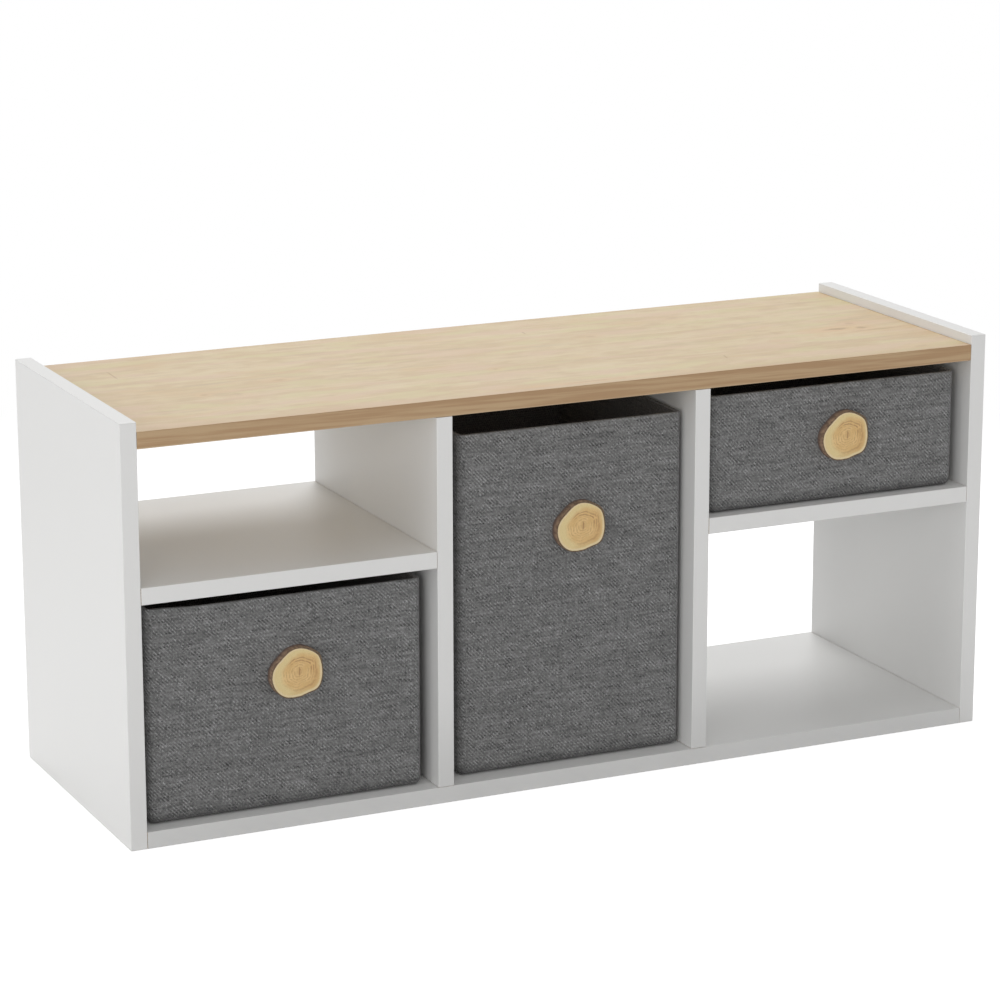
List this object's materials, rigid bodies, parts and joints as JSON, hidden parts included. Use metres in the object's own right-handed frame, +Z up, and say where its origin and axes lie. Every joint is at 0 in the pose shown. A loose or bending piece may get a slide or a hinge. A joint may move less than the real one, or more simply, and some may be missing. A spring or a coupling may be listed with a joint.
{
  "type": "tv stand",
  "caption": "Low open-backed tv stand of white boards with an oak-look top, open cubbies and grey fabric bins that slide out by round wooden knobs.",
  "frame": {"origin": "on the floor under the middle of the cabinet", "axes": "+X along the width to the viewer's right, +Y from front to back, +Z up"},
  "size_m": [0.9, 0.3, 0.4],
  "materials": {
    "white_board": "white melamine-faced chipboard, satin, with a fine print-free texture",
    "oak_board": "light oak-look melamine-faced chipboard, satin",
    "zinc": "dull die-cast zinc",
    "steel": "bright zinc-plated steel",
    "beech": "bare beech",
    "grey_twill": "mottled grey twill, matt",
    "black_felt": "black non-woven lining, matt",
    "grey_card": "grey board, matt",
    "branch_wood": "sanded end grain with its bark on, satin"
  },
  "bodies": {
    "cabinet": {"side_left": "white_board", "side_right": "white_board", "top_board": "oak_board", "bottom_board": "white_board", "divider_left": "white_board", "divider_right": "white_board", "shelf_left": "white_board", "shelf_right": "white_board", "cam_lock_top_left_front": "zinc", "cam_lock_top_left_back": "zinc", "cam_lock_top_right_front": "zinc", "cam_lock_top_right_back": "zinc", "cam_lock_bottom_left_front": "zinc", "cam_lock_bottom_left_back": "zinc", "cam_lock_bottom_right_front": "zinc", "cam_lock_bottom_right_back": "zinc", "cam_bolt_top_left_front": "steel", "cam_bolt_top_left_back": "steel", "cam_bolt_top_right_front": "steel", "cam_bolt_top_right_back": "steel", "cam_bolt_bottom_left_front": "steel", "cam_bolt_bottom_left_back": "steel", "cam_bolt_bottom_right_front": "steel", "cam_bolt_bottom_right_back": "steel", "dowel_side_left_front": "beech", "dowel_side_left_back": "beech", "dowel_side_right_front": "beech", "dowel_side_right_back": "beech", "dowel_divider_left_front": "beech", "dowel_divider_left_back": "beech", "dowel_divider_right_front": "beech", "dowel_divider_right_back": "beech", "dowel_top_left_front": "beech", "dowel_top_left_back": "beech", "dowel_top_right_front": "beech", "dowel_top_right_back": "beech", "screw_divider_left_front": "steel", "screw_divider_left_back": "steel", "screw_divider_right_front": "steel", "screw_divider_right_back": "steel"},
    "left_bin": {"bin_left_cover": "grey_twill", "bin_left_card_sleeve": "grey_card", "bin_left_lining": "black_felt", "bin_left_base_board": "black_felt", "bin_left_knob": "branch_wood", "bin_left_knob_screw": "steel"},
    "middle_bin": {"bin_middle_cover": "grey_twill", "bin_middle_card_sleeve": "grey_card", "bin_middle_lining": "black_felt", "bin_middle_base_board": "black_felt", "bin_middle_knob": "branch_wood", "bin_middle_knob_screw": "steel"},
    "right_bin": {"bin_right_cover": "grey_twill", "bin_right_card_sleeve": "grey_card", "bin_right_lining": "black_felt", "bin_right_base_board": "black_felt", "bin_right_knob": "branch_wood", "bin_right_knob_screw": "steel"}
  },
  "joints": [
    {"name": "left_bin_slide", "type": "slide", "parent": "cabinet", "child": "left_bin", "axis": [0, -1, 0], "range_m": [-0.025, 0.276]},
    {"name": "middle_bin_slide", "type": "slide", "parent": "cabinet", "child": "middle_bin", "axis": [0, -1, 0], "range_m": [-0.02, 0.281]},
    {"name": "right_bin_slide", "type": "slide", "parent": "cabinet", "child": "right_bin", "axis": [0, -1, 0], "range_m": [-0.028, 0.273]}
  ]
}
